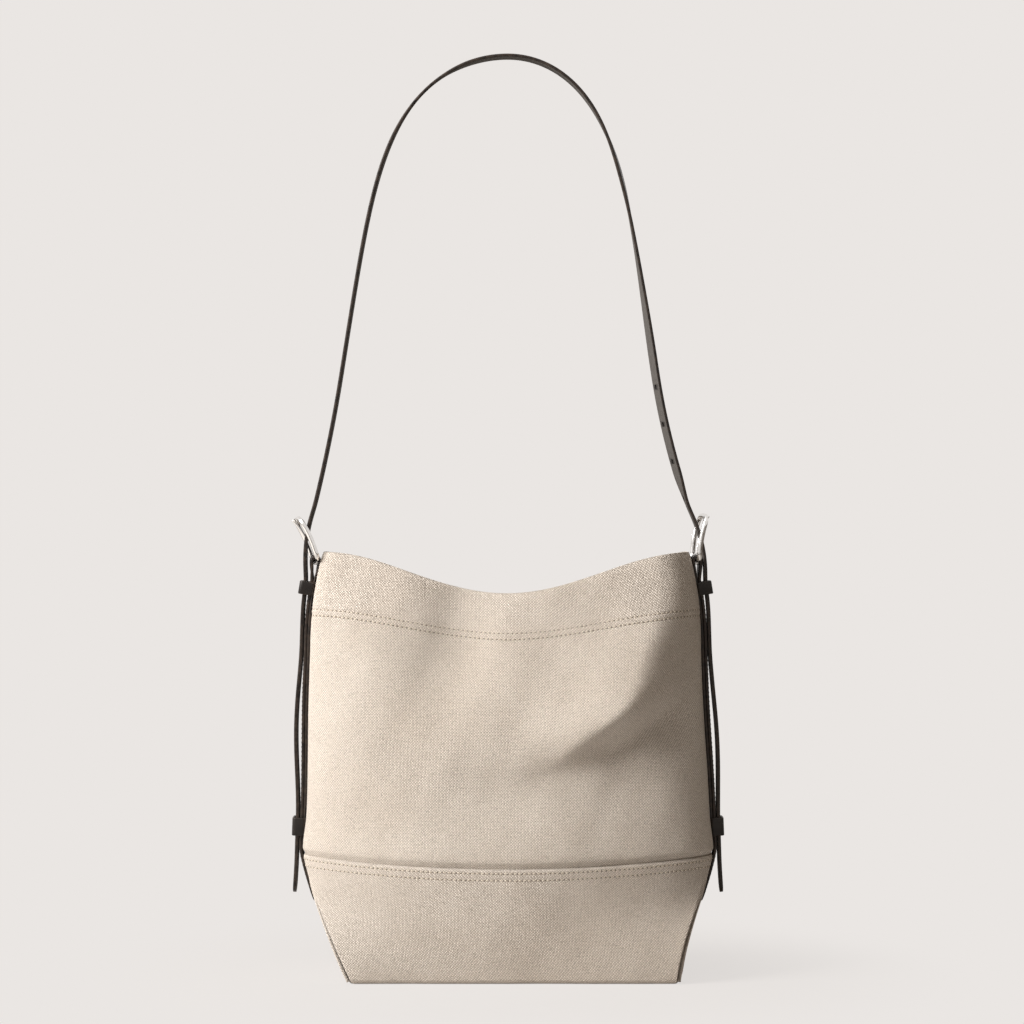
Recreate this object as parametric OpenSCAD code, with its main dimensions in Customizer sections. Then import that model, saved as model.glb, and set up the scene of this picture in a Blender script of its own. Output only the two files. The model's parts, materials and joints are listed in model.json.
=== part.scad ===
// A canvas bucket bag with a leather shoulder strap that buckles to a strip down each side.
// The bag stands on its base at z = 0. +X is to the wearer's right of the front, and the front faces -Y.

/* [Canvas body] */
// Height of the two top corners
body_h = 350; // [320:5:380]
// How far the mouth dips in the middle
mouth_dip = 34; // [10:2:44]
// Width across the mouth
mouth_w = 304; // [290:2:312]
// Width at the shoulder, where the sides start to draw in
shoulder_w = 325; // [320:1:330]
// Greatest width, just above the base band
belly_w = 337; // [332:1:344]
// Width of the base at the middle of its short sides
base_w = 274; // [240:2:300]
// Depth of the mouth
mouth_d = 52; // [44:2:70]
// Greatest depth
belly_d = 140; // [120:2:160]
// Depth of the base
base_d = 128; // [110:2:150]
// Thickness of one layer of canvas
canvas_t = 2; // [1.6:0.1:2.4]
// Height of the base band in the middle of the front
band_h = 93; // [84:1:96]
// Depth of the facing behind the mouth's edge
facing_h = 38; // [30:1:44]

/* [Leather strap and side strips] */
// Width of the strap and of the side strips
strap_w = 18; // [14:1:20]
// Thickness of the shoulder strap
strap_t = 3.3; // [2.5:0.1:3.6]
// Thickness of a side strip, two layers of leather
strip_t = 5.2; // [4.8:0.1:6]
// Height of the top of the strap, with the strap held up
strap_top = 766; // [700:2:820]
// Height of the lower end of a side strip
strip_foot = 60; // [50:1:70]
// Height of the lower end of a strap tail
tail_foot = 67; // [60:1:90]
// Thickness of a keeper's leather
keeper_t = 1.8; // [1.4:0.1:1.9]
// How far a keeper slides either way
keeper_travel = 8; // [2:1:8]

/* [Buckles] */
// Radius of the buckle's wire
wire_r = 2.1; // [1.8:0.1:2.2]
// Length of the buckle frame between the middles of its end bars
frame_l = 37.3; // [36:0.1:38]
// Width of the buckle frame between the middles of its side bars
frame_w = 28.8; // [28:0.2:32]
// Lean of the left buckle, outwards from upright
left_lean = 24; // [22:1:26]
// Lean of the right buckle, outwards from upright
right_lean = 10; // [8:1:12]
// Radius of a prong
prong_r = 1.2; // [1:0.1:1.3]

/* [Hidden] */
$fn = 48;
LEFT = -1;
RIGHT = 1;

canvas = "#d8cab4";
board = "#8c8478";
leather = "#2b2725";
steel = "#c9cbcd";

// Heights that divide the body
belly_z = 105;
shoulder_z = 270;
gusset_top = 92;
// The solid gusset stops this far below its point, where it would get too thin
gusset_drop = 8;
panel_tuck = 10;
band_rise = 6.5;
loft_z = 130;
base_lean = 5.3;
base_lean_z = 60;
top_lean = -2;
top_lean_z = 140;
top_lean_rise = 100;
side_bulge = 5;

// How the sides curl in to the base, how the depth tapers to the mouth, and how the rows crowd to the foot
foot_curl = 0.08;
foot_power = 8;
taper_power = 1.25;
row_power = 1.4;

// Shares of the way from the middle of the front to the side seam
flat_start = 0.94;
corner_start = 0.68;
corner_end = 0.9;
seam_u = 0.998;
seam_share = 0.005;

// Room between two layers of canvas, and between the panels and the bands round their foot
gap = 0.3;
band_gap = 0.55;
// How far the facings stop below the mouth's edge
facing_drop = 1;

// The strap's arch: straight sides that draw in, a round crown and a flare at the foot
pivot_z = 388;
crown_power = 8;
flare_share = 0.3;
arch_steps = 30;
pivot_gap = 0.4;
hole_r = 2;
hole_pitch = 31;
hole_count = 4;
first_hole_z = 396;
crowd_power = 2.2;

// The bend through a buckle: how the strap leaves its tail, and how far down and out the arch's foot is drawn
bend_start = [1, 16];
bend_drop = 26;
bend_out = 1.5;
bend_steps = 12;

// The side strips, keepers and tails
side_gap = 0.2;
tail_gap = 0.5;
tail_gap_top = 1.8;
tail_bow = 1.5;
tail_flare = 2;
flare_power = 1.5;
upper_keeper_z = 319.5;
lower_keeper_z = 122;
upper_keeper_h = 11;
lower_keeper_h = 15;
keeper_slack = 0.3;
keeper_front_slack = 1.2;
keeper_corner = 1.7;
recess_d = 2.3;
recess_reach = 5;
recess_spare = 1;
travel_up = 4;
tilt_span = 8;
lead_z = 325;

// The buckles
heel_z = 344;
loop_t = 2.2;
loop_turn = 215;
fork_z = 327;
slit_z = 332;
slit_r = 0.2;
bore_gap = 0.1;
neck_z = 333;
strip_slot_slack = 0.4;
strip_slot_drop = 4.7;
prong_w = 3.6;
prong_l = 39;
prong_play = 1;
prong_slot_w = 6.8;
prong_slot_slack = 0.5;
prong_slot_foot = 10;
prong_slot_l = 20;
prong_gap = 0.8;
prong_bow = 2.2;
prong_steps = 8;
bow_power = 1.2;
prong_eye_t = 2;
heel_r = 5;
end_r = 9;
wire_facets = 24;

function mix(a, b, t) = a + (b - a) * t;
function smooth(t) = let (c = min(max(t, 0), 1)) c * c * (3 - 2 * c);

// Half of the body's width at a height
function half_w(z) =
    z < belly_z ? mix(base_w, belly_w, foot_share(max(z, 0) / belly_z)) / 2
    : z < shoulder_z ? mix(belly_w, shoulder_w, (z - belly_z) / (shoulder_z - belly_z)) / 2
    : mix(shoulder_w, mouth_w, pow((z - shoulder_z) / (body_h - shoulder_z), 2)) / 2;

function foot_share(t) = (1 + foot_curl) * t - foot_curl * pow(t, foot_power);

// Half of the body's depth at a height
function half_d(z) =
    z < belly_z ? mix(base_d, belly_d, sin(90 * z / belly_z)) / 2
    : mix(belly_d, mouth_d, pow((z - belly_z) / (body_h - belly_z), taper_power)) / 2;

// Sideways lean of the body's middle at a height
function sway(z) =
    base_lean * pow(max(1 - z / base_lean_z, 0), 2) + top_lean * smooth((z - top_lean_z) / top_lean_rise);

// A quarter of the round section, from the middle of the front at s = 0 to the side seam at s = 1
function round_quarter(s, z) =
    let (flat = strap_w / 2, a = 90 * s / flat_start)
    s < flat_start ? [half_w(z) * sin(a), flat + (half_d(z) - flat) * cos(a)]
    : [half_w(z), flat * (1 - s) / (1 - flat_start)];

// The seam between a base band and a gusset, as a share of the way to the side
function corner_share(z) = mix(corner_start, 1, min(z / gusset_top, 1));

// A quarter of the boxed section at the base, with its corner on the gusset's seam
function box_quarter(s, z) =
    let (
        corner = half_w(z) - side_bulge,
        turn = min(corner_share(z), corner_end),
        t = (s - turn) / (1 - turn)
    )
    s < turn ? [corner * s / turn, half_d(z)]
    : [corner + side_bulge * sin(90 * t), half_d(z) * (1 - t)];

// The body's outline at height z, as u goes from -1 at the left seam to 1 at the right; face is -1 in front
function outline(u, z, face) =
    let (
        s = min(abs(u), 1),
        q = mix(box_quarter(s, z), round_quarter(s, z), smooth(z / loft_z))
    )
    [sign(u) * q.x + sway(z), face * q.y];

// A point on the body's surface, moved outwards by off
function skin(u, z, face, off) =
    let (
        e = 0.01,
        d = outline(min(u + e, 1), z, face) - outline(max(u - e, -1), z, face),
        n = face * [-d.y, d.x] / norm(d),
        p = outline(u, z, face) + off * n
    )
    [p.x, p.y, z];

// Height of the mouth's edge and of the base band's edge, across the body
function across_share(u) = sin(90 * min(abs(u) / flat_start, 1));
function mouth_z(u) = body_h - mouth_dip * (1 + cos(180 * across_share(u))) / 2;
function band_z(u) = band_h + band_rise * pow(across_share(u), 2);

// Distance from the middle plane to the outside of the canvas, a side strip and a strap tail
function canvas_side(z, side) = half_w(z) + side * sway(z);
function strip_side(z, side) = canvas_side(z, side) + side_gap + strip_t;
function tail_line(z, side) =
    let (
        t = min(max((z - lower_keeper_z) / (upper_keeper_z - lower_keeper_z), 0), 1),
        bow = tail_bow * pow(sin(180 * t), 2),
        flare = tail_flare * pow(max(belly_z - z, 0) / (belly_z - tail_foot), flare_power)
    )
    strip_side(max(z, belly_z), side) + mix(tail_gap, tail_gap_top, t) + strap_t / 2 + bow + flare;

// The strap's arch, as a distance from the middle plane at share h of its height
function arch_reach(side) = side == LEFT ? 156.6 : 139.5;
function arch_draw(side) = side == LEFT ? 59.4 : 56;
function arch_flare(side) = side == LEFT ? 5 : 11;
function arch_line(h, side) =
    (arch_reach(side) - arch_draw(side) * h) * sqrt(1 - pow(h, crown_power))
    + arch_flare(side) * pow(max(1 - h / flare_share, 0), 2);
function arch_h(z) = (z - pivot_z) / (strap_top - strap_t / 2 - pivot_z);
function arch_z(h) = mix(pivot_z, strap_top - strap_t / 2, h);
function arch_half(side) =
    [for (i = [0 : arch_steps - 1])
        let (h = 1 - pow(1 - i / arch_steps, crowd_power)) [side * arch_line(h, side), arch_z(h)]];

// The curve that leads the strap through the buckle and into its tail
function bezier(a, b, c, d, t) =
    pow(1 - t, 3) * a + 3 * pow(1 - t, 2) * t * b + 3 * (1 - t) * pow(t, 2) * c + pow(t, 3) * d;
function arch_slope(side) = (arch_draw(side) + 2 * arch_flare(side) / flare_share) / (strap_top - pivot_z);
function arch_down(side) = [bend_out * arch_slope(side), -1];
function lead_curve(side) =
    let (
        a = [tail_line(lead_z, side), lead_z],
        d = [arch_line(0, side), pivot_z]
    )
    [for (i = [1 : bend_steps]) bezier(a, a + bend_start, d + bend_drop * arch_down(side), d, i / bend_steps)];

// Where a buckle's heel bar lies, and how its frame and its prong lean
function heel_x(side) = strip_side(neck_z, side) - strip_t / 2;
function frame_lean(side) = side == LEFT ? left_lean : right_lean;
function prong_lean(side) = frame_lean(side) + asin((wire_r + prong_r + prong_gap) / frame_l);

// Offsets a line of points sideways, and joins the two offsets into a ribbon's outline
function tangent(line, i) = line[min(i + 1, len(line) - 1)] - line[max(i - 1, 0)];
function beside(line, off) =
    [for (i = [0 : len(line) - 1]) let (d = tangent(line, i)) line[i] + off * [-d.y, d.x] / norm(d)];
function backwards(line) = [for (i = [len(line) - 1 : -1 : 0]) line[i]];

module ribbon(line, thickness, width) {
    rotate([90, 0, 0])
        linear_extrude(width, center = true)
            polygon(concat(beside(line, thickness / 2), backwards(beside(line, -thickness / 2))));
}

// Draws a left-hand piece as the mirror of a right-hand one
module on_side(side) {
    if (side == LEFT)
        mirror([1, 0, 0]) children();
    else
        children();
}

// A closed sheet over a grid of nu by nv cells: outer[i][j] and inner[i][j] are its two faces, and turn is
// 1 or -1 as i and j run anticlockwise or clockwise over the outer face
module sheet(outer, inner, turn) {
    nu = len(outer) - 1;
    nv = len(outer[0]) - 1;
    row = nv + 1;
    half = (nu + 1) * row;
    points = concat([for (r = outer) each r], [for (r = inner) each r]);
    skins = [for (i = [0 : nu - 1], j = [0 : nv - 1], k = [0, 1])
        let (
            a = i * row + j,
            q = [a, a + 1, a + row + 1, a + row],
            o = [for (p = q) p + k * half]
        )
        each [[o[0], o[1 + k], o[2 - k]], [o[0], o[2 + k], o[3 - k]]]];
    edge = concat(
        [for (i = [0 : nu]) i * row],
        [for (j = [1 : nv]) nu * row + j],
        [for (i = [nu - 1 : -1 : 0]) i * row + nv],
        [for (j = [nv - 1 : -1 : 1]) j]
    );
    count = len(edge);
    rims = [for (i = [0 : count - 1])
        let (a = edge[i], b = edge[(i + 1) % count])
        each [[a, b, b + half], [a, b + half, a + half]]];
    faces = concat(skins, rims);
    polyhedron(points, turn > 0 ? faces : [for (f = faces) [f[2], f[1], f[0]]]);
}

// A panel of the body between two seams and two heights, off0 to off1 outside the body's surface
module panel(face, nu, nv, u_at, z_at, off0, off1) {
    grid = [for (off = [off1, off0])
        [for (i = [0 : nu]) [for (j = [0 : nv])
            let (z = z_at(i / nu, j / nv), u = u_at(i / nu, z)) skin(u, z, face, off)]]];
    sheet(grid[0], grid[1], -face);
}

// Spreads cells more closely towards both seams
function spread(t) = sin(90 * (2 * t - 1));

module upper_panel(face) {
    function panel_u(t) = seam_u * spread(t);
    color(canvas)
        panel(face, 36, 16,
            function (t, z) panel_u(t),
            function (t, v) mix(band_z(panel_u(t)) - panel_tuck, mouth_z(panel_u(t)), pow(v, row_power)),
            -canvas_t, 0);
}

module base_band(face) {
    color(canvas)
        panel(face, 36, 9,
            function (t, z) spread(t) * (corner_share(z) - seam_share),
            function (t, v) v * band_z(spread(t)),
            band_gap, band_gap + canvas_t);
}

module mouth_facing(face) {
    color(canvas)
        panel(face, 24, 3,
            function (t, z) flat_start * spread(t),
            function (t, v) mouth_z(flat_start * spread(t)) - mix(facing_h, facing_drop, v),
            -2 * canvas_t - gap, -canvas_t - gap);
}

// A gusset closes the side between the two base bands, up to a point under the side strip
module base_gusset(side) {
    steps = 8;
    top = gusset_top - gusset_drop;
    function at(z, t, off) =
        let (
            s = corner_share(z) + seam_share,
            u = side * mix(s, 1, 1 - abs(2 * t - 1)),
            face = t < 0.5 ? -1 : 1
        )
        skin(u, z, face, off);
    outer = [for (i = [0 : steps]) [for (j = [0 : steps]) at(top * j / steps, i / steps, band_gap + canvas_t)]];
    inner = [for (i = [0 : steps]) [for (j = [0 : steps]) at(top * j / steps, i / steps, band_gap)]];
    color(canvas) sheet(outer, inner, side);
}

// The outline of the body's foot, moved outwards by off
function foot_outline(off) =
    let (
        n = 20,
        front = [for (i = [-n : n]) skin(i / n, 0, -1, off)],
        back = [for (i = [n - 1 : -1 : 1 - n]) skin(i / n, 0, 1, off)]
    )
    [for (p = concat(front, back)) [p.x, p.y]];

module base_panel() {
    color(canvas) linear_extrude(canvas_t) polygon(foot_outline(0));
}

module base_board() {
    board_t = 2.4;
    board_inset = 3;
    color(board) translate([0, 0, canvas_t + gap]) linear_extrude(board_t) polygon(foot_outline(-board_inset));
}

module inner_pocket() {
    pocket_u = 0.4;
    pocket_foot = 140;
    pocket_top = 262;
    color(canvas)
        panel(1, 10, 6,
            function (t, z) pocket_u * (2 * t - 1),
            function (t, v) mix(pocket_foot, pocket_top, v),
            -2 * canvas_t - gap, -canvas_t - gap);
}

// One half of the magnetic snap, a disc against the facing
module snap(face) {
    snap_r = 9;
    snap_t = 3;
    snap_z = body_h - mouth_dip - facing_h / 2;
    slope = atan((half_d(snap_z + snap_r) - half_d(snap_z - snap_r)) / (2 * snap_r));
    depth = half_d(snap_z) - 2 * canvas_t - 2 * gap;
    color(steel)
        translate([sway(snap_z), face * depth, snap_z])
            rotate([face * (90 - slope), 0, 0])
                cylinder(h = snap_t, r = snap_r);
}

// A side strip is folded round the buckle's heel bar at the top, and slotted there for the prong.
// Its inner layer ends at the lower keeper, and its outer layer goes on down over the band and the gusset.
module side_strip(side) {
    heel = [heel_x(side), heel_z];
    loop_r = wire_r + bore_gap + loop_t;
    strip_steps = 34;
    heights = [for (i = [0 : strip_steps]) mix(strip_foot, fork_z, i / strip_steps)];
    layers = [
        for (z = heights) if (z < lower_keeper_z) [strip_side(z, side) - strip_t / 2, z],
        for (z = heights) if (z >= lower_keeper_z) [canvas_side(z, side) + side_gap, z]
    ];
    outline = concat(
        layers,
        [for (a = [loop_turn : -10 : 180 - loop_turn]) heel + loop_r * [cos(a), sin(a)]],
        [for (z = backwards(heights)) [strip_side(z, side), z]]
    );
    color(leather)
        on_side(side)
            difference() {
                rotate([90, 0, 0])
                    linear_extrude(strap_w, center = true) polygon(outline);
                hull() {
                    across(heel) cylinder(h = 2 * strap_w, r = wire_r + bore_gap, center = true);
                    across([heel.x, slit_z]) cylinder(h = 2 * strap_w, r = slit_r, center = true);
                }
                keeper_recess(upper_keeper_z, upper_keeper_h, travel_up, side);
                keeper_recess(lower_keeper_z, lower_keeper_h, keeper_travel, side);
                translate([heel.x - 2 * loop_r, -prong_w / 2 - strip_slot_slack, heel_z - strip_slot_drop])
                    cube([4 * loop_r, prong_w + 2 * strip_slot_slack, 4 * loop_r]);
            }
}

// Lays its children across the strip at a point
module across(point) {
    translate([point.x, 0, point.y]) rotate([90, 0, 0]) children();
}

// Stands its children on a side strip at a keeper, with z along the way the keeper slides
function keeper_tilt(z, side) =
    atan((canvas_side(z + tilt_span, side) - canvas_side(z - tilt_span, side)) / (2 * tilt_span));

module at_keeper(z, side) {
    translate([canvas_side(z, side) + side_gap, 0, z]) rotate([0, keeper_tilt(z, side), 0]) children();
}

module keeper_recess(z, height, up, side) {
    down = height / 2 + keeper_travel + recess_spare;
    length = down + height / 2 + up + recess_spare;
    at_keeper(z, side)
        translate([-recess_reach, -strap_w, -down]) cube([recess_reach + recess_d, 2 * strap_w, length]);
}

module rounded_bar(size, radius) {
    translate([radius, -size.y / 2, 0]) cube([size.x - 2 * radius, size.y, size.z]);
    translate([0, -size.y / 2 + radius, 0]) cube([size.x, size.y - 2 * radius, size.z]);
    for (x = [radius, size.x - radius], y = [-1, 1])
        translate([x, y * (size.y / 2 - radius), 0]) cylinder(h = size.z, r = radius);
}

// A keeper goes round the side strip and the tail, and slides along them
module keeper(z, height, room, side) {
    inside_y = strap_w + 2 * keeper_slack;
    inner_x = recess_d - keeper_slack;
    outer_x = strip_t + room + strap_t + keeper_front_slack;
    inside = [outer_x - inner_x, inside_y, height];
    color(leather)
        on_side(side)
            at_keeper(z, side)
                translate([inner_x - keeper_t, 0, -height / 2])
                    difference() {
                        rounded_bar(inside + 2 * keeper_t * [1, 1, 0], keeper_corner);
                        translate([keeper_t, -inside_y / 2, -height / 2]) cube([inside.x, inside.y, 2 * height]);
                    }
}

// Stands its children on the heel bar, with z along the leaning frame or prong
module at_heel(side, lean) {
    on_side(side) translate([heel_x(side), 0, heel_z]) rotate([0, lean, 0]) children();
}

module bar(from, to, radius) {
    way = to - from;
    translate(from)
        rotate([0, 0, atan2(way.y, way.x)])
            rotate([0, acos(way.z / norm(way)), 0])
                cylinder(h = norm(way), r = radius);
}

// A buckle frame is one ring of round wire: a straight heel bar, two sides and a rounded end
module buckle_frame(side) {
    y = frame_w / 2;
    color(steel)
        at_heel(side, frame_lean(side)) {
            bar([0, heel_r - y, 0], [0, y - heel_r, 0], wire_r);
            bar([0, end_r - y, frame_l], [0, y - end_r, frame_l], wire_r);
            for (s = [-1, 1]) {
                bar([0, s * y, heel_r], [0, s * y, frame_l - end_r], wire_r);
                frame_corner([0, s * (y - heel_r), heel_r], heel_r, s, -1);
                frame_corner([0, s * (y - end_r), frame_l - end_r], end_r, s, 1);
            }
        }
}

module frame_corner(centre, radius, side_y, side_z) {
    translate(centre)
        rotate([side_z > 0 ? 0 : 180, 0, 0])
            rotate([0, -90, 0])
                rotate([0, 0, side_y * side_z > 0 ? 0 : -90])
                    rotate_extrude(angle = 90, $fn = wire_facets) translate([radius, 0]) circle(wire_r);
}

// A prong is bowed towards the bag, from an eye round the heel bar to a round tip over the end bar
function prong_point(i) =
    let (s = i / prong_steps) [-prong_bow * sin(180 * pow(s, bow_power)), 0, (prong_l - prong_r) * s];

module buckle_prong(side) {
    eye_r = wire_r + bore_gap + prong_eye_t;
    color(steel)
        at_heel(side, prong_lean(side))
            difference() {
                union() {
                    rotate([90, 0, 0]) cylinder(h = prong_w, r = eye_r, center = true);
                    for (i = [0 : prong_steps - 1])
                        hull()
                            for (k = [i, i + 1])
                                translate(prong_point(k)) sphere(prong_r, $fn = wire_facets / 2);
                }
                rotate([90, 0, 0]) cylinder(h = 2 * prong_w, r = wire_r + bore_gap, center = true);
            }
}

// The slot that the prong comes through, wide enough for its play
module prong_slot(side) {
    on_side(side)
        at_heel(side, prong_lean(side) + prong_play)
            translate([-prong_slot_w / 2 - prong_bow, -prong_r - prong_slot_slack, prong_slot_foot])
                cube([prong_slot_w, 2 * (prong_r + prong_slot_slack), prong_slot_l]);
}

// A tail runs from just under the strap's pivot, through the buckle and both keepers
module strap_tail(side) {
    tail_steps = 40;
    heights = [for (i = [0 : tail_steps]) mix(tail_foot, lead_z, i / tail_steps)];
    line = concat([for (z = heights) [tail_line(z, side), z]], lead_curve(side));
    top = pivot_z - strap_w / 2 - pivot_gap;
    foot_z = tail_foot + strap_w / 2;
    color(leather)
        on_side(side)
            difference() {
                intersection() {
                    ribbon(line, strap_t, strap_w);
                    union() {
                        translate([0, -strap_w, foot_z]) cube([belly_w, 2 * strap_w, top - foot_z]);
                        translate([0, 0, foot_z]) rotate([0, 90, 0]) cylinder(h = belly_w, r = strap_w / 2);
                    }
                }
                prong_slot(side);
            }
}

// The arch ends in a half round at each pivot, where the leather bends
module shoulder_strap() {
    line = concat(arch_half(LEFT), [[0, arch_z(1)]], backwards(arch_half(RIGHT)));
    color(leather)
        difference() {
            union() {
                ribbon(line, strap_t, strap_w);
                on_side(LEFT) arch_foot(LEFT);
                arch_foot(RIGHT);
            }
            for (side = [LEFT, RIGHT], i = [0 : hole_count - 1]) {
                z = first_hole_z + i * hole_pitch;
                translate([side * arch_line(arch_h(z), side), 0, z])
                    rotate([0, 90, 0]) cylinder(h = 5 * strap_t, r = hole_r, center = true);
            }
        }
}

module arch_foot(side) {
    foot = [arch_line(0, side), pivot_z];
    half = strap_w / 2;
    intersection() {
        ribbon([foot + half * arch_down(side), foot, foot + [-arch_slope(side), 1]], strap_t, strap_w);
        translate([foot.x, 0, pivot_z]) rotate([0, 90, 0]) cylinder(h = strap_w, r = half, center = true);
    }
}

base_panel();
base_board();
base_band(-1);  // front_base_band
base_band(1);  // back_base_band
base_gusset(LEFT);  // left_base_gusset
base_gusset(RIGHT);  // right_base_gusset
upper_panel(-1);  // front_panel
upper_panel(1);  // back_panel
mouth_facing(-1);  // front_facing
mouth_facing(1);  // back_facing
inner_pocket();
snap(-1);  // front_snap
snap(1);  // back_snap
side_strip(LEFT);  // left_side_strip
side_strip(RIGHT);  // right_side_strip
buckle_frame(LEFT);  // left_buckle_frame
buckle_frame(RIGHT);  // right_buckle_frame
buckle_prong(LEFT);  // left_buckle_prong
buckle_prong(RIGHT);  // right_buckle_prong
keeper(upper_keeper_z, upper_keeper_h, tail_gap_top, LEFT);  // left_upper_keeper
keeper(lower_keeper_z, lower_keeper_h, tail_gap, LEFT);  // left_lower_keeper
keeper(upper_keeper_z, upper_keeper_h, tail_gap_top, RIGHT);  // right_upper_keeper
keeper(lower_keeper_z, lower_keeper_h, tail_gap, RIGHT);  // right_lower_keeper
shoulder_strap();
strap_tail(LEFT);  // left_strap_tail
strap_tail(RIGHT);  // right_strap_tail
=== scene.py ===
"""A canvas bucket bag with a leather shoulder strap, in metres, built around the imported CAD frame."""
import json
import math

import bmesh
import bpy
import numpy as np
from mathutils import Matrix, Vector


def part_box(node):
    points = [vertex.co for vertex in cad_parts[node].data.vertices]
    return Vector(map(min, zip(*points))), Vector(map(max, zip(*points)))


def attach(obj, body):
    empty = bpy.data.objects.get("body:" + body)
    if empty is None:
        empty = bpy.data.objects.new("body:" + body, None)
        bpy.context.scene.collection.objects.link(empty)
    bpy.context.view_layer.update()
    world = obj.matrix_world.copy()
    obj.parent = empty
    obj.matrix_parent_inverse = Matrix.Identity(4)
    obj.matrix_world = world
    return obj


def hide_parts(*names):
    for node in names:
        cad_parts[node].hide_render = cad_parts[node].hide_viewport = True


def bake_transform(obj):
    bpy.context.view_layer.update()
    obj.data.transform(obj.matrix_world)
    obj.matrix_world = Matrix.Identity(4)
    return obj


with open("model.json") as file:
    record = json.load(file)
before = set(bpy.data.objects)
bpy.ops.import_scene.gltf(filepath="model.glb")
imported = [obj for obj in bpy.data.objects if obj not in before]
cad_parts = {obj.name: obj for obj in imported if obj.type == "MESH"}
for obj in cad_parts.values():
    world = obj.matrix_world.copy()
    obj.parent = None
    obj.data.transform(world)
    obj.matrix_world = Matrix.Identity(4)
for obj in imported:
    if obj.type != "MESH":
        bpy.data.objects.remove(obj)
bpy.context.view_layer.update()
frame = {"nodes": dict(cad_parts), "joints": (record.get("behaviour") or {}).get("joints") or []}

# ---- sizes

MM = 0.001
LEFT, RIGHT = -1, 1
FRONT, BACK = -1, 1
SIDE_NAME = {LEFT: "left", RIGHT: "right"}
FACE_NAME = {FRONT: "front", BACK: "back"}
X_AXIS = np.array([1.0, 0.0, 0.0])
Y_AXIS = np.array([0.0, 1.0, 0.0])
Z_AXIS = np.array([0.0, 0.0, 1.0])


def joint(name):
    return next(j for j in frame["joints"] if j["name"] == name)


def extent(node, axis):
    low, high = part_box(node)
    return high[axis] - low[axis]


CANVAS_T = extent("base_panel", 2)
BASE_W = extent("base_panel", 0)
BASE_D = extent("base_panel", 1)
BODY_H = round(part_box("front_panel")[1][2], 4)
STRAP_W = extent("shoulder_strap", 1)
STRAP_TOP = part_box("shoulder_strap")[1][2]
STRIP_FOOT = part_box("left_side_strip")[0][2]
TAIL_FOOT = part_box("left_strap_tail")[0][2]
PIVOT_Z = joint("strap_swing")["pos_m"][2]
HEEL_Z = joint("left_frame_tilt")["pos_m"][2]

MOUTH_DIP = 34 * MM
MOUTH_W = 304 * MM
MOUTH_D = 52 * MM
SHOULDER_W = 325 * MM
SHOULDER_Z = 270 * MM
BELLY_W = 337 * MM
BELLY_D = 140 * MM
BELLY_Z = 105 * MM
BAND_H = 93 * MM
BAND_RISE = 6.5 * MM
BAND_T = 2 * MM
PANEL_TUCK = 10 * MM
GUSSET_TOP = 92 * MM
FOOT_TURN_R = 4 * MM
BACK_RIM_DROP = 2.5 * MM
FACING_T = 0.8 * CANVAS_T
POCKET_T = 0.7 * CANVAS_T
POCKET_REACH = 0.4
POCKET_FOOT_Z = 140 * MM
POCKET_TOP_Z = 262 * MM
LOFT_Z = 130 * MM
BASE_LEAN = 5.3 * MM
BASE_LEAN_Z = 60 * MM
TOP_LEAN = -2 * MM
TOP_LEAN_Z = 140 * MM
SIDE_BULGE = 5 * MM
FLAT_START = 0.94
CORNER_START = 0.68
CORNER_END = 0.9
SLACK_START = 0.6
SEAM_SHARE = 0.005
LAYER_GAP = 0.3 * MM
BAND_GAP = 0.55 * MM

STRAP_T = 3.3 * MM
# The leather as cut is thinner than the room its solid takes
STRAP_LEATHER_T = 2.8 * MM
STRIP_T = 5.2 * MM
SIDE_GAP = 0.2 * MM
TAIL_GAP = 0.5 * MM
TAIL_GAP_TOP = 1.8 * MM
TAIL_BOW = 2.9 * MM
TAIL_BOW_TOP_Z = 280 * MM
TAIL_FLARE = 2 * MM
UPPER_KEEPER_Z = 319.5 * MM
LOWER_KEEPER_Z = 122 * MM
UPPER_KEEPER_H = 11 * MM
LOWER_KEEPER_H = 15 * MM
KEEPER_T = 1.8 * MM
KEEPER_TRAVEL = 8 * MM
TRAVEL_UP = 4 * MM
RECESS_D = 0.95 * MM
KEEPER_BACK_T = 0.6 * MM
KEEPER_ROOM = {"upper": 1.3 * MM, "lower": 0.7 * MM}
LEAD_Z = 325 * MM
FORK_Z = 327 * MM

WIRE_R = 2.1 * MM
FRAME_L = 37.3 * MM
FRAME_W = 28.8 * MM
FRAME_LEAN = {LEFT: math.radians(24), RIGHT: math.radians(10)}
# The rings hang turned a little about their long axis, with the front wire towards the right
FRAME_TURN = {LEFT: math.radians(12), RIGHT: math.radians(9)}
PRONG_R = 1.2 * MM
PRONG_L = 39 * MM
PRONG_W = 3.6 * MM
PRONG_BOW = 2.2 * MM
PRONG_GAP = 0.8 * MM
BORE_GAP = 0.1 * MM

ARCH_REACH = {LEFT: 156.6 * MM, RIGHT: 139.5 * MM}
ARCH_DRAW = {LEFT: 59.4 * MM, RIGHT: 56 * MM}
ARCH_FLARE = {LEFT: 5 * MM, RIGHT: 11 * MM}
FLARE_SHARE = 0.3
CROWN_POWER = 8
HOLE_R = 2 * MM
HOLE_PITCH = 31 * MM
HOLE_COUNT = 4
FIRST_HOLE_Z = 396 * MM

STITCH_PITCH = 3.8 * MM
STITCH_L = 3 * MM
# Height of the two rows of hem stitches at the sides, and how far they dip in the middle
HEM_ROWS = (303 * MM, 298 * MM)
HEM_DIP = 19 * MM
# How far the two rows on the band lie below its folded edge
BAND_ROWS = (2.6 * MM, 8.2 * MM)
STRIP_STITCH_Y = 6.6 * MM


def mix(a, b, t):
    return a + (b - a) * t


def smooth(t):
    t = min(max(t, 0.0), 1.0)
    return t * t * (3 - 2 * t)


# ---- the body's surface, as part.scad lofts it


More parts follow.
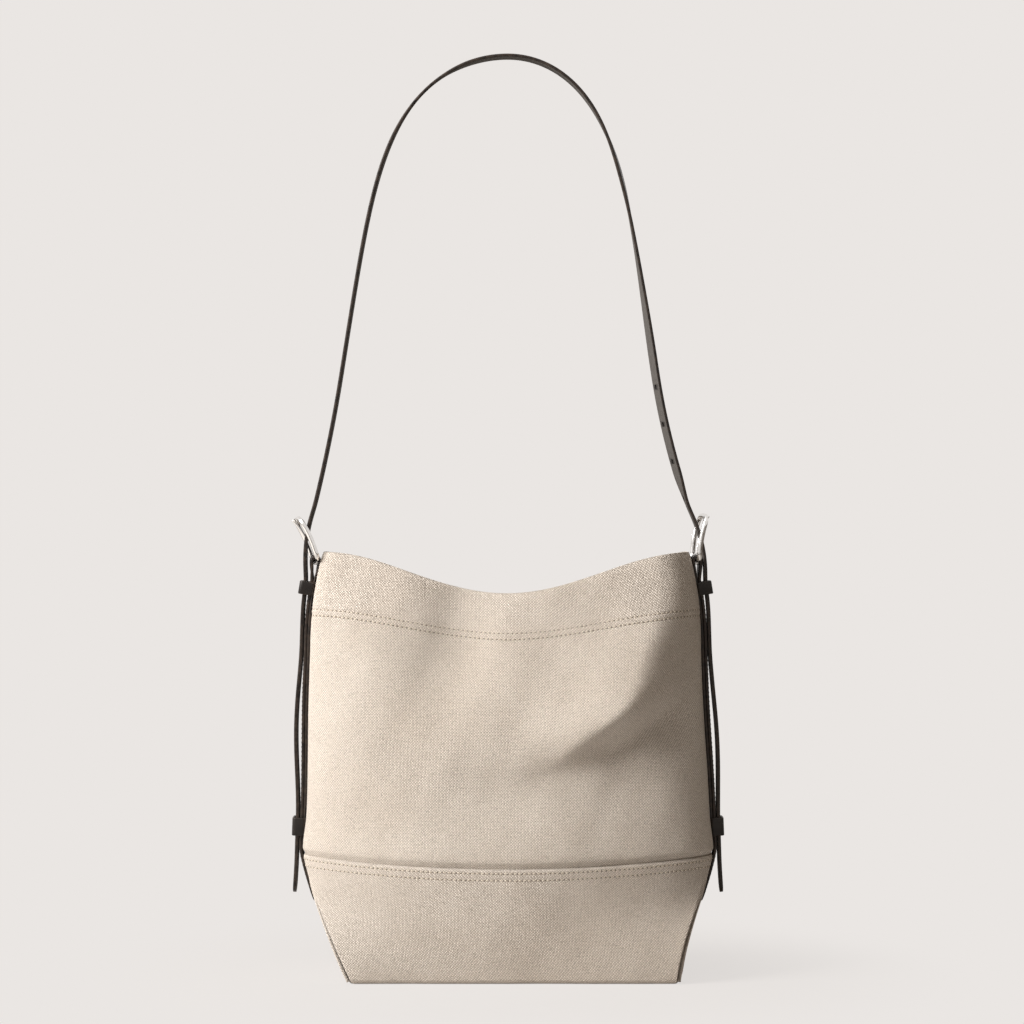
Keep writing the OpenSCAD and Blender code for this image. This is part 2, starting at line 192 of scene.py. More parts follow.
def half_w(z):
    if z < BELLY_Z:
        t = max(z, 0.0) / BELLY_Z
        return mix(BASE_W, BELLY_W, 1.08 * t - 0.08 * t ** 8) / 2
    if z < SHOULDER_Z:
        return mix(BELLY_W, SHOULDER_W, (z - BELLY_Z) / (SHOULDER_Z - BELLY_Z)) / 2
    return mix(SHOULDER_W, MOUTH_W, ((z - SHOULDER_Z) / (BODY_H - SHOULDER_Z)) ** 2) / 2


def half_d(z):
    if z < BELLY_Z:
        return mix(BASE_D, BELLY_D, math.sin(math.pi / 2 * max(z, 0.0) / BELLY_Z)) / 2
    return mix(BELLY_D, MOUTH_D, ((z - BELLY_Z) / (BODY_H - BELLY_Z)) ** 1.25) / 2


def sway(z):
    lean = BASE_LEAN * max(1 - z / BASE_LEAN_Z, 0) ** 2
    return lean + TOP_LEAN * smooth((z - TOP_LEAN_Z) / (100 * MM))


def corner_share(z):
    return mix(CORNER_START, 1, min(z / GUSSET_TOP, 1))


def round_quarter(s, z):
    flat = STRAP_W / 2
    if s >= FLAT_START:
        return half_w(z), flat * (1 - s) / (1 - FLAT_START)
    a = math.pi / 2 * s / FLAT_START
    return half_w(z) * math.sin(a), flat + (half_d(z) - flat) * math.cos(a)


def box_quarter(s, z):
    corner = half_w(z) - SIDE_BULGE
    turn = min(corner_share(z), CORNER_END)
    if s < turn:
        return corner * s / turn, half_d(z)
    t = (s - turn) / (1 - turn)
    return corner + SIDE_BULGE * math.sin(math.pi / 2 * t), half_d(z) * (1 - t)


def outline(u, z, face):
    s = min(abs(u), 1.0)
    share = smooth(z / LOFT_Z)
    box, rounded = box_quarter(s, z), round_quarter(s, z)
    x = mix(box[0], rounded[0], share)
    y = mix(box[1], rounded[1], share)
    return np.array([math.copysign(x, u) + sway(z), face * y])


def normal(u, z, face):
    e = 0.01
    d = outline(min(u + e, 1), z, face) - outline(max(u - e, -1), z, face)
    return face * np.array([-d[1], d[0], 0.0]) / np.hypot(*d)


def plain(u, z, face, off=0.0):
    """A point on the body before it slackens, off outside it."""
    x, y = outline(u, z, face)
    return np.array([x, y, z]) + off * normal(u, z, face)


def skin(u, z, face, off=0.0):
    """A point on the slack canvas, off outside it. The folds die out towards the sides."""
    x, _ = outline(u, z, face)
    slack = 1 - smooth((abs(u) - SLACK_START) / (1 - SLACK_START))
    return plain(u, z, face, off + relief(x, z, face) * slack)


def across_share(u):
    """How far across the face a point is seen, from 0 in the middle to 1 at the side."""
    return math.sin(math.pi / 2 * min(abs(u) / FLAT_START, 1))


def dip(u):
    return (1 + math.cos(math.pi * across_share(u))) / 2


def mouth_z(u, face):
    lower = BACK_RIM_DROP * smooth((1 - across_share(u)) / 0.12) if face == BACK else 0
    return BODY_H - MOUTH_DIP * dip(u) - lower


def band_z(u):
    return BAND_H + BAND_RISE * across_share(u) ** 2


def hem_z(u, row):
    return HEM_ROWS[row] - HEM_DIP * dip(u)


def bell(distance, width):
    return math.exp(-((distance / width) ** 2))


def ridge(x, z, start, end, width, height):
    """A soft fold along a line from start to end, each (x, z)."""
    ax, az = start
    dx, dz = end[0] - ax, end[1] - az
    t = min(max(((x - ax) * dx + (z - az) * dz) / (dx * dx + dz * dz), 0), 1)
    return height * bell(math.hypot(x - ax - t * dx, z - az - t * dz), width)


# The front's big fold: its height, its foot, and where its edge turns from upright to a leftward curl
BILLOW_H = 23 * MM
BILLOW_FOOT_Z = 163 * MM
BILLOW_TURN_Z = 248 * MM
BILLOW_FADE_Z = 60 * MM
# Its start and peak across the front, and how far each curls left below the turn
BILLOW_START_X = 12 * MM
BILLOW_PEAK_X = 102 * MM
BILLOW_START_CURL = 28 * MM
BILLOW_PEAK_CURL = 54 * MM
# How far the peak drifts right above the turn, and the steep side's width at the turn and below
BILLOW_PEAK_DRIFT = 20 * MM
BILLOW_FALL_W = 62 * MM
BILLOW_LOW_FALL_W = 44 * MM


def billow(x, z):
    """It swells towards the right, then drops off along its edge."""
    low = max(BILLOW_TURN_Z - z, 0) / BILLOW_FADE_Z
    high = smooth((z - BILLOW_TURN_Z) / (70 * MM))
    peak = BILLOW_PEAK_X - BILLOW_PEAK_CURL * low ** 1.5 + BILLOW_PEAK_DRIFT * high
    start = BILLOW_START_X - BILLOW_START_CURL * low
    fall = mix(BILLOW_FALL_W, BILLOW_LOW_FALL_W, min(low, 1))
    climb = min(max((x - start) / (peak - start), 0), 1)
    shape = climb * climb * (2 - climb) * smooth((peak + fall - x) / fall)
    return BILLOW_H * (1 - 0.35 * high) * shape * smooth((z - BILLOW_FOOT_Z) / BILLOW_FADE_Z)


# Soft folds in the slack canvas: start and end as (x, z), width and height
FOLDS = {
    FRONT: (
        ((-30 * MM, 350 * MM), (-44 * MM, 262 * MM), 33 * MM, -9 * MM),
        ((-30 * MM, 156 * MM), (80 * MM, 150 * MM), 26 * MM, -3.5 * MM),
        ((-120 * MM, 300 * MM), (-115 * MM, 150 * MM), 36 * MM, 3 * MM),
        ((120 * MM, 190 * MM), (135 * MM, 130 * MM), 26 * MM, 2 * MM),
    ),
    BACK: (
        ((20 * MM, 350 * MM), (45 * MM, 215 * MM), 44 * MM, -6 * MM),
        ((-80 * MM, 350 * MM), (-95 * MM, 240 * MM), 40 * MM, 5 * MM),
        ((-140 * MM, 215 * MM), (-30 * MM, 160 * MM), 30 * MM, -3.5 * MM),
    ),
}
# Gentle waves in the cloth: waves per metre across and up, phase and height
WAVES = (
    (9, 5, 0.3, 0.7 * MM),
    (17, -11, 1.9, 0.35 * MM),
    (-6, 21, 4.1, 0.3 * MM),
    (31, 13, 2.2, 0.15 * MM),
)


def relief(x, z, face):
    calm = smooth((z - BAND_H) / (60 * MM))
    folds = sum(ridge(x, z, *fold) for fold in FOLDS[face])
    if face == FRONT:
        folds += billow(x, z)
    waves = sum(h * math.sin(2 * math.pi * (face * x * kx + z * kz) + p) for kx, kz, p, h in WAVES)
    return folds * calm + waves * mix(0.5, 1, calm)


def canvas_side(z, side):
    return half_w(z) + side * sway(z)


def strip_side(z, side):
    return canvas_side(z, side) + SIDE_GAP + STRIP_T


def tail_line(z, side):
    t = min(max((z - LOWER_KEEPER_Z) / (TAIL_BOW_TOP_Z - LOWER_KEEPER_Z), 0), 1)
    bow = TAIL_BOW * math.sin(math.pi * t) ** 2
    gap = mix(TAIL_GAP, TAIL_GAP_TOP, smooth((z - TAIL_BOW_TOP_Z) / (UPPER_KEEPER_Z - TAIL_BOW_TOP_Z)))
    flare = TAIL_FLARE * (max(BELLY_Z - z, 0) / (BELLY_Z - TAIL_FOOT)) ** 1.5
    return strip_side(max(z, BELLY_Z), side) + gap + STRAP_T / 2 + bow + flare


def arch_line(h, side):
    flare = ARCH_FLARE[side] * max(1 - h / FLARE_SHARE, 0) ** 2
    return (ARCH_REACH[side] - ARCH_DRAW[side] * h) * math.sqrt(max(1 - h ** CROWN_POWER, 0)) + flare


def arch_z(h):
    return mix(PIVOT_Z, STRAP_TOP - STRAP_T / 2, h)


def heel(side):
    return np.array(joint(f"{SIDE_NAME[side]}_frame_tilt")["pos_m"])


def prong_lean(side):
    return FRAME_LEAN[side] + math.asin((WIRE_R + PRONG_R + PRONG_GAP) / FRAME_L)


# ---- mesh building


def unit(v):
    return v / np.linalg.norm(v)


def outward(way, side):
    """Square to a way in the plane y = 0, and pointing away from the bag."""
    return np.array([side * way[2], 0, -side * way[0]])


def lengths_along(path):
    """How far along the path each of its points is."""
    return np.concatenate([[0], np.cumsum(np.linalg.norm(np.diff(path, axis=0), axis=1))])


def tube_faces(start, rings, sides):
    """Faces round a tube whose points begin at number start, with one face over each end."""
    faces = []
    for i in range(rings - 1):
        a, b = start + i * sides, start + (i + 1) * sides
        faces += [(a + k, b + k, b + (k + 1) % sides, a + (k + 1) % sides) for k in range(sides)]
    for end in (start, start + (rings - 1) * sides):
        faces.append([end + k for k in range(sides)])
    return faces


def add_object(name, data):
    obj = bpy.data.objects.new(name, data)
    bpy.context.scene.collection.objects.link(obj)
    return obj


def make_object(name, verts, faces, uvs=None, wear=None, flesh=None):
    """A mesh object with smooth faces that point outwards. uvs, wear and flesh hold one entry a vertex."""
    mesh = bpy.data.meshes.new(name)
    mesh.from_pydata([tuple(v) for v in verts], [], [tuple(f) for f in faces])
    for label, values in (("wear", wear), ("flesh", flesh)):
        attribute = mesh.attributes.new(label, "FLOAT", "POINT")
        if values is not None:
            attribute.data.foreach_set("value", np.asarray(values, np.float32).ravel())
    if uvs is not None:
        layer = mesh.uv_layers.new(name="cloth")
        corners = np.empty(len(mesh.loops), np.int64)
        mesh.loops.foreach_get("vertex_index", corners)
        layer.data.foreach_set("uv", np.asarray(uvs, np.float32).reshape(-1, 2)[corners].ravel())
    bm = bmesh.new()
    bm.from_mesh(mesh)
    bmesh.ops.recalc_face_normals(bm, faces=bm.faces)
    bm.to_mesh(mesh)
    bm.free()
    mesh.polygons.foreach_set("use_smooth", [True] * len(mesh.polygons))
    return add_object(name, mesh)


def loft(name, loops, ring=False, cap="fan", **values):
    """Joins closed loops of points into a skin. Each end is closed by one face, or by a ladder of faces."""
    loops = np.asarray(loops, float)
    n, m = loops.shape[:2]
    faces = []
    for i in range(n if ring else n - 1):
        a, b = i * m, (i + 1) % n * m
        faces += [(a + k, b + k, b + (k + 1) % m, a + (k + 1) % m) for k in range(m)]
    if not ring:
        for start in (0, (n - 1) * m):
            if cap == "fan":
                faces.append([start + k for k in range(m)])
            else:
                faces += [[start + j for j in (k, k + 1, m - 2 - k, m - 1 - k)] for k in range(m // 2 - 1)]
    return make_object(name, loops.reshape(-1, 3), faces, **values)


def join(name, objects):
    """One object from several."""
    bm = bmesh.new()
    for obj in objects:
        bm.from_mesh(obj.data)
    mesh = bpy.data.meshes.new(name)
    bm.to_mesh(mesh)
    bm.free()
    for obj in objects:
        bpy.data.objects.remove(obj)
    return add_object(name, mesh)


def cut(obj, cutters):
    """Takes the cutters away from obj."""
    tool = join("cutter", cutters)
    modifier = obj.modifiers.new("cut", "BOOLEAN")
    modifier.operation = "DIFFERENCE"
    modifier.solver = "EXACT"
    modifier.object = tool
    bpy.context.view_layer.update()
    result = bpy.data.meshes.new_from_object(obj.evaluated_get(bpy.context.evaluated_depsgraph_get()))
    obj.modifiers.clear()
    result.set_sharp_from_angle(angle=math.radians(40))
    obj.data = result
    bpy.data.objects.remove(tool)


def round_rect(half_x, half_y, radius, steps=4):
    """A rectangle's outline with round corners, anticlockwise."""
    radius = min(radius, half_x, half_y)
    points = []
    for sx, sy, start in ((1, 1, 0), (-1, 1, 90), (-1, -1, 180), (1, -1, 270)):
        for k in range(steps):
            a = math.radians(start + 90 * k / (steps - 1))
            x = sx * (half_x - radius) + radius * math.cos(a)
            y = sy * (half_y - radius) + radius * math.sin(a)
            points.append((x, y))
    return points


def circle(radius, sides):
    turns = [2 * math.pi * k / sides for k in range(sides)]
    return [(radius * math.cos(a), radius * math.sin(a)) for a in turns]


def tangents(path, closed=False):
    path = np.asarray(path)
    if closed:
        d = np.roll(path, -1, 0) - np.roll(path, 1, 0)
    else:
        d = np.gradient(path, axis=0)
    return d / np.linalg.norm(d, axis=1)[:, None]


def between_points(values, along, places):
    """Values at places along a path whose points are along it."""
    return np.stack([np.interp(places, along, column) for column in values.T], -1)


def resample(path, step):
    """The same route with points a step apart."""
    path = np.asarray(path, float)
    along = lengths_along(path)
    places = np.linspace(0, along[-1], max(int(round(along[-1] / step)), 2) + 1)
    return between_points(path, along, places)


def relax(path, rounds):
    """Smooths a route, with its ends kept."""
    path = path.copy()
    for _ in range(rounds):
        path[1:-1] = (path[:-2] + 2 * path[1:-1] + path[2:]) / 4
    return path


def sweep(path, sections, across=Y_AXIS, closed=False, turn=None):
    """Loops of points along a path. A section is a list of (across, out) pairs, and turn twists each one."""
    way = tangents(path, closed)
    loops = []
    for i, point in enumerate(np.asarray(path)):
        wide = unit(across - np.dot(across, way[i]) * way[i])
        out = np.cross(way[i], wide)
        if turn is not None:
            c, s = math.cos(turn[i]), math.sin(turn[i])
            wide, out = c * wide + s * out, c * out - s * wide
        loops.append([point + a * wide + b * out for a, b in sections[i]])
    return loops


# ---- materials


class Nodes:
    """Adds nodes to a material or world, and joins them up."""

    def __init__(self, tree):
        self.tree = tree
        tree.nodes.clear()

    def put(self, kind, inputs=None, **settings):
        node = self.tree.nodes.new(kind)
        for key, value in settings.items():
            setattr(node, key, value)
        for key, value in (inputs or {}).items():
            if isinstance(value, bpy.types.NodeSocket):
                self.tree.links.new(value, node.inputs[key])
            else:
                node.inputs[key].default_value = value
        return node

    def math(self, operation, a, b=0.0):
        return self.put("ShaderNodeMath", {0: a, 1: b}, operation=operation).outputs[0]

    def add(self, a, b):
        return self.math("ADD", a, b)

    def times(self, a, b):
        return self.math("MULTIPLY", a, b)

    def scaled(self, vector, x, y, z):
        return self.put("ShaderNodeMapping", {"Vector": vector, "Scale": (x, y, z)}).outputs[0]

    def noise(self, vector, scale, detail=2.0, rough=0.5):
        inputs = {"Vector": vector, "Scale": scale, "Detail": detail, "Roughness": rough}
        return self.put("ShaderNodeTexNoise", inputs).outputs["Fac"]

    def between(self, value, low, high, to_low=0.0, to_high=1.0):
        inputs = {"Value": value, "From Min": low, "From Max": high, "To Min": to_low, "To Max": to_high}
        return self.put("ShaderNodeMapRange", inputs, interpolation_type="SMOOTHSTEP").outputs[0]

    def blend(self, fac, a, b, kind="MIX"):
        # 6, 7 and output 2 are the node's colour sockets
        return self.put("ShaderNodeMix", {0: fac, 6: a, 7: b}, data_type="RGBA", blend_type=kind).outputs[2]

    def solid(self):
        return self.put("ShaderNodeTexCoord").outputs["Object"]

    def attribute(self, name):
        return self.put("ShaderNodeAttribute", attribute_name=name).outputs["Fac"]

    def bump(self, height, strength, distance):
        inputs = {"Height": height, "Strength": strength, "Distance": distance}
        return self.put("ShaderNodeBump", inputs).outputs[0]

    def finish(self, **inputs):
        shader = self.put("ShaderNodeBsdfPrincipled", {key.replace("_", " "): v for key, v in inputs.items()})
        self.put("ShaderNodeOutputMaterial", {"Surface": shader.outputs[0]})


def new_material(name):
    material = bpy.data.materials.new(name)
    material.use_nodes = True
    return material, Nodes(material.node_tree)


def rgb(r, g, b):
    return (r, g, b, 1.0)


# The width that one yarn of the canvas takes
YARN = 1.15 * MM


def canvas_material(name, light, dark):
    """Heavy plain weave with painted shade between its yarns, slubs, soft mottling and rubbed edges."""
    material, n = new_material(name)
    place = n.put("ShaderNodeTexCoord")
    flat, solid = place.outputs["UV"], place.outputs["Object"]
    wander = n.noise(n.scaled(flat, 160, 160, 1), 1.0, 1.0)
    split = n.put("ShaderNodeSeparateXYZ", {0: flat})
    turns = math.pi / YARN
    x = n.add(n.times(split.outputs[0], turns), n.times(wander, 2.4))
    y = n.add(n.times(split.outputs[1], turns), n.times(wander, 2.4))
    a, b = n.math("SINE", x), n.math("SINE", y)
    over = n.between(n.times(a, b), -0.2, 0.2)
    warp = n.times(over, n.math("ABSOLUTE", a))
    weft = n.times(n.math("SUBTRACT", 1.0, over), n.math("ABSOLUTE", b))
    weave = n.add(warp, weft)
    slub_x = n.noise(n.scaled(flat, 120, 1000, 1), 1.0, 3.0)
    slub_y = n.noise(n.scaled(flat, 1000, 120, 1), 1.0, 3.0)
    slub = n.add(n.times(slub_x, n.math("SUBTRACT", 1.0, over)), n.times(slub_y, over))
    cloud = n.noise(solid, 9.0, 4.0, 0.6)
    fleck = n.between(n.noise(solid, 1100.0, 2.0), 0.48, 0.7)
    # The weave is darker at the low edges of each yarn and where the weft lies on top: partly yarn colour,
    # partly painted shade of the weave's relief
    yarn_tone_and_shade = n.add(n.times(n.between(weave, 0.1, 0.8), 0.2), n.times(over, 0.6))
    yarn_tone_and_shade = n.add(yarn_tone_and_shade, n.times(n.between(slub, 0.32, 0.68), 0.2))
    colour = n.blend(yarn_tone_and_shade, dark, light)
    colour = n.blend(n.between(cloud, 0.35, 0.7, 0.0, 0.2), colour, rgb(0.68, 0.6, 0.52), "MULTIPLY")
    colour = n.blend(n.times(fleck, 0.4), colour, rgb(0.22, 0.18, 0.14))
    rub = n.times(n.attribute("wear"), n.between(n.noise(solid, 160.0, 3.0), 0.35, 0.65))
    colour = n.blend(n.times(rub, 0.35), colour, rgb(0.86, 0.8, 0.72))
    height = n.add(n.times(weave, 0.8), n.times(slub, 0.7))
    height = n.add(height, n.times(n.noise(solid, 900.0, 2.0), 0.5))
    bump = n.bump(height, 1.0, 0.7 * MM)
    n.finish(
        Base_Color=colour, Roughness=n.between(weave, 0.0, 1.0, 0.98, 0.88), Normal=bump,
        Sheen_Weight=0.12, Sheen_Roughness=0.5, Specular_IOR_Level=0.25,
    )
    return material


def thread_material(name, light, dark):
    """Twisted sewing thread."""
    material, n = new_material(name)
    solid = n.solid()
    ply = n.noise(n.scaled(solid, 1500, 1500, 2600), 1.0, 1.0)
    colour = n.blend(n.between(ply, 0.35, 0.65), dark, light)
    n.finish(Base_Color=colour, Roughness=0.7, Normal=n.bump(ply, 0.6, 0.15 * MM), Sheen_Weight=0.2)
    return material


def leather_material(name):
    """Dark bridle leather: fine grain, uneven polish, rubbed edges and a paler suede flesh side."""
    material, n = new_material(name)
    solid = n.solid()
    cells = n.put("ShaderNodeTexVoronoi", {"Vector": solid, "Scale": 900.0}, feature="DISTANCE_TO_EDGE")
    pores = cells.outputs[0]
    grain = n.noise(solid, 1400.0, 3.0)
    cloud = n.noise(solid, 28.0, 4.0)
    wear = n.times(n.attribute("wear"), n.between(n.noise(solid, 220.0, 3.0), 0.3, 0.7))
    flesh = n.attribute("flesh")
    colour = n.blend(n.between(cloud, 0.35, 0.65), rgb(0.009, 0.0075, 0.007), rgb(0.019, 0.0155, 0.0135))
    colour = n.blend(n.times(wear, 0.6), colour, rgb(0.065, 0.047, 0.036))
    nap = n.noise(n.scaled(solid, 600, 600, 250), 1.0, 4.0)
    suede = n.blend(nap, rgb(0.055, 0.05, 0.046), rgb(0.11, 0.102, 0.095))
    colour = n.blend(flesh, colour, suede)
    height = n.add(n.times(n.between(pores, 0.0, 0.25), 0.6), n.times(grain, 0.5))
    height = n.add(height, n.times(flesh, nap))
    polish = n.add(n.between(cloud, 0.3, 0.7, 0.34, 0.48), n.times(flesh, 0.4))
    n.finish(
        Base_Color=colour, Roughness=polish, Normal=n.bump(height, 0.35, 0.12 * MM),
        Specular_IOR_Level=0.22, Coat_Weight=0.03, Coat_Roughness=0.3,
    )
    return material


def steel_material(name):
    """Polished wire with faint draw marks and finger haze."""
    material, n = new_material(name)
    solid = n.solid()
    marks = n.noise(n.scaled(solid, 2400, 300, 900), 1.0, 2.0)
    haze = n.noise(solid, 120.0, 4.0)
    colour = n.blend(n.between(haze, 0.3, 0.7), rgb(0.78, 0.77, 0.75), rgb(0.9, 0.89, 0.88))
    n.finish(
        Base_Color=colour, Metallic=1.0, Roughness=n.between(haze, 0.3, 0.75, 0.13, 0.27),
        Normal=n.bump(marks, 0.12, 0.05 * MM),
    )
    return material


def board_material(name):
    """Grey fibre board."""
    material, n = new_material(name)
    solid = n.solid()
    fibre = n.noise(n.scaled(solid, 260, 900, 900), 1.0, 4.0)
    fleck = n.between(n.noise(solid, 700.0, 2.0), 0.6, 0.75)
    colour = n.blend(fibre, rgb(0.13, 0.11, 0.09), rgb(0.3, 0.27, 0.22))
    colour = n.blend(n.times(fleck, 0.4), colour, rgb(0.5, 0.46, 0.4))
    n.finish(Base_Color=colour, Roughness=0.9, Normal=n.bump(fibre, 0.4, 0.2 * MM))
    return material


CANVAS = canvas_material("canvas", rgb(1.0, 0.925, 0.845), rgb(0.47, 0.4, 0.325))
THREAD = thread_material("canvas_thread", rgb(0.8, 0.72, 0.61), rgb(0.56, 0.48, 0.38))
# Painted shade: a dark colour for the lenses that stand in for the shade inside each needle hole
HOLE_SHADE = thread_material("needle_hole_shade", rgb(0.19, 0.145, 0.105), rgb(0.1, 0.075, 0.054))
DARK_THREAD = thread_material("leather_thread", rgb(0.05, 0.042, 0.036), rgb(0.02, 0.017, 0.015))
LEATHER = leather_material("leather")
STEEL = steel_material("steel")
BOARD = board_material("board")


def dress(obj, material):
    obj.data.materials.clear()
    obj.data.materials.append(material)
    return obj


# ---- canvas


def spread(count):
    """Shares from -1 to 1, closer together at both ends."""
    even = np.linspace(-1, 1, count)
    return mix(even, np.sin(even * math.pi / 2), 0.75)


def spacing(points):
    """Distances between neighbours across and up a grid of points."""
    across = np.linalg.norm(np.diff(points, axis=0), axis=2)
    up = np.linalg.norm(np.diff(points, axis=1), axis=2)
    return across, up


def cloth(name, columns, thickness, wear=None):
    """A sheet from columns of (point, outward) pairs, foot to top, with a round top edge."""
    points = np.array([[p for p, _ in column] for column in columns])
    out = np.array([[o for _, o in column] for column in columns])
    inner = points - out * thickness
    middle, radius = (points[:, -1] + inner[:, -1]) / 2, thickness / 2
    crown = []
    for a in np.radians([36, 72, 108, 144]):
        crown.append(middle + out[:, -1] * radius * math.cos(a) + Z_AXIS * radius * math.sin(a))
    loops = np.concatenate([points, np.stack(crown, 1), inner[:, ::-1]], 1)
    across, up = spacing(points)
    u = np.vstack([np.zeros(points.shape[1]), np.cumsum(across, 0)])
    u -= u[len(u) // 2]
    v = np.hstack([np.zeros((len(points), 1)), np.cumsum(up, 1)])
    v += points[:, :1, 2] - v[:, :1]
    top_u, top_v = np.repeat(u[:, -1:], 4, 1), v[:, -1:] + np.linspace(0.2, 0.8, 4) * 3 * thickness
    inner_v = 2 * v[:, -1:] + 3 * thickness - v
    uvs = np.stack([np.hstack([u, top_u, u[:, ::-1]]), np.hstack([v, top_v, inner_v[:, ::-1]])], -1)
    rub = np.zeros(loops.shape[:2])
    if wear is not None:
        rows = points.shape[1]
        rub[:, :rows] = wear
        rub[:, rows:rows + 4] = wear[:, -1:]
    obj = loft(name, loops, cap="ladder", uvs=uvs, wear=rub)
    dress(obj, CANVAS)
    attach(obj, "bag")
    return obj


def thread_row(path, out, stitches, holes=None):
    """Adds a row along a path to lists of stitches and of needle holes, each as (centre, way, out)."""
    path, out = np.asarray(path), np.asarray(out)
    along = lengths_along(path)
    count = int(along[-1] / STITCH_PITCH)
    for place in (np.arange(count) + 0.5) * along[-1] / count:
        start = between_points(path, along, place - STITCH_L / 2)
        end = between_points(path, along, place + STITCH_L / 2)
        up = unit(between_points(out, along, place))
        way = unit(end - start)
        stitches.append(((start + end) / 2, way, up))
        if holes is not None:
            holes.append((end + way * (STITCH_PITCH - STITCH_L) / 2, way, up))


def sew(name, stitches, material, radius=0.42 * MM):
    """One mesh of short threads, each with its ends pulled down into the cloth."""
    sides, rings = 6, 5
    verts, faces = [], []
    for centre, way, out in stitches:
        across = np.cross(way, out)
        base = len(verts)
        for i in range(rings):
            t = 2 * i / (rings - 1) - 1
            fat = radius * math.sqrt(max(1 - t * t * 0.92, 0))
            spine = centre + way * t * STITCH_L / 2 + out * (0.25 * radius - 1.1 * radius * t * t)
            for c, s in circle(fat, sides):
                verts.append(spine + across * c + out * s)
        faces += tube_faces(base, rings, sides)
    obj = make_object(name, verts, faces)
    dress(obj, material)
    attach(obj, "bag")


def shade_needle_holes(name, holes):
    """Painted shade of needle holes: small dark lens shapes that lie almost flush with the cloth, dark where
    each hole's shade would fall.
    """
    sides = 8
    # Radius and height of each ring of the lens
    rings = ((0.8 * MM, -0.1 * MM), (0.58 * MM, 0.12 * MM), (0.25 * MM, 0.18 * MM))
    verts, faces = [], []
    for centre, way, out in holes:
        across = np.cross(way, out)
        base = len(verts)
        for radius, lift in rings:
            verts += [centre + way * a + across * 0.75 * b + out * lift for a, b in circle(radius, sides)]
        faces += tube_faces(base, len(rings), sides)
    obj = make_object(name, verts, faces)
    dress(obj, HOLE_SHADE)
    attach(obj, "bag")


def seam_dip(u, z):
    """The line of holes pulls the cloth in along each row of hem stitches."""
    return -0.4 * MM * sum(bell(z - hem_z(u, row), 0.9 * MM) for row in (0, 1))


def upper_panel(face):
    columns, cut_columns, wear = [], [], []
    for u in spread(150) * 0.998:
        foot, rim = band_z(u), mouth_z(u, face)
        low, high = hem_z(u, 1) - 3 * MM, hem_z(u, 0) + 3 * MM
        heights = np.concatenate([
            np.linspace(foot - PANEL_TUCK, foot + 12 * MM, 20, endpoint=False),
            np.linspace(foot + 12 * MM, low, 50, endpoint=False),
            np.linspace(low, high, 15, endpoint=False),
            np.linspace(high, rim, 15),
        ])
        column, rub = [], []
        for z in heights:
            thicker = 0.2 * MM * smooth((z - hem_z(u, 1)) / (4 * MM))
            edge = max(1 - (rim - z) / (5 * MM), 0)
            sag = 2.4 * MM * smooth((z - foot) / (7 * MM)) * bell(max(z - foot - 7 * MM, 0), 16 * MM)
            sag *= 1 - smooth((abs(u) - 0.9) / 0.08)
            off = thicker + sag + seam_dip(u, z) - 0.5 * MM * edge ** 2
            column.append((skin(u, z, face, off), normal(u, z, face)))
            rub.append(0.6 * edge)
        columns.append(column)
        cut_columns.append([plain(u, z, face) for z in heights])
        wear.append(rub)
    panel = cloth(f"{FACE_NAME[face]}_canvas", columns, CANVAS_T, np.array(wear))
    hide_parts(f"{FACE_NAME[face]}_panel")


def inner_sheet(name, face, us, feet, tops, rows, thickness):
    """A sheet against the inside of a panel, with a foot and a top for each of its columns."""
    off = -CANVAS_T - LAYER_GAP
    columns, cut_columns = [], []
    for u, foot, top in zip(us, feet, tops):
        heights = np.linspace(foot, top, rows)
        columns.append([(skin(u, z, face, off), normal(u, z, face)) for z in heights])
        cut_columns.append([plain(u, z, face, off) for z in heights])
    return cloth(name, columns, thickness)


def facing(face):
    us = spread(80) * FLAT_START
    feet = [hem_z(u, 1) - 4 * MM for u in us]
    tops = [mouth_z(u, face) - 1.2 * MM for u in us]
    piece = inner_sheet(f"{FACE_NAME[face]}_mouth_facing", face, us, feet, tops, 12, FACING_T)
    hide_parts(f"{FACE_NAME[face]}_facing")


def foot_turn(z):
    """How far the cloth stands back at a height as it turns in under the foot."""
    lift = max(FOOT_TURN_R - z, 0)
    return math.sqrt(FOOT_TURN_R ** 2 - lift ** 2) - FOOT_TURN_R


def base_band(face):
    columns, cut_columns, wear = [], [], []
    for t in spread(130):
        top = band_z(t)
        heights = np.concatenate([
            FOOT_TURN_R * (1 - np.cos(np.linspace(0.2, math.pi / 2, 8))),
            np.linspace(FOOT_TURN_R, top - 12 * MM, 26)[1:-1],
            np.linspace(top - 12 * MM, top, 18),
        ])
        column, cut_column, rub = [], [], []
        for z in heights:
            u = t * (corner_share(z) - SEAM_SHARE)
            cut_column.append(plain(u, z, face, BAND_GAP + BAND_T))
            off = BAND_GAP + BAND_T + foot_turn(z)
            off -= 0.3 * MM * sum(bell(top - z - d, 0.9 * MM) for d in BAND_ROWS)
            off -= 0.6 * MM * max(1 - (top - z) / (1.5 * MM), 0) ** 2
            column.append((skin(u, z, face, off), normal(u, z, face)))
            rub.append(0.5 * max(1 - (top - z) / (2 * MM), 0) + 0.5 * max(1 - z / (3 * MM), 0))
        columns.append(column)
        cut_columns.append(cut_column)
        wear.append(rub)
    band = cloth(f"{FACE_NAME[face]}_band", columns, BAND_T, np.array(wear))
    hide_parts(f"{FACE_NAME[face]}_base_band")


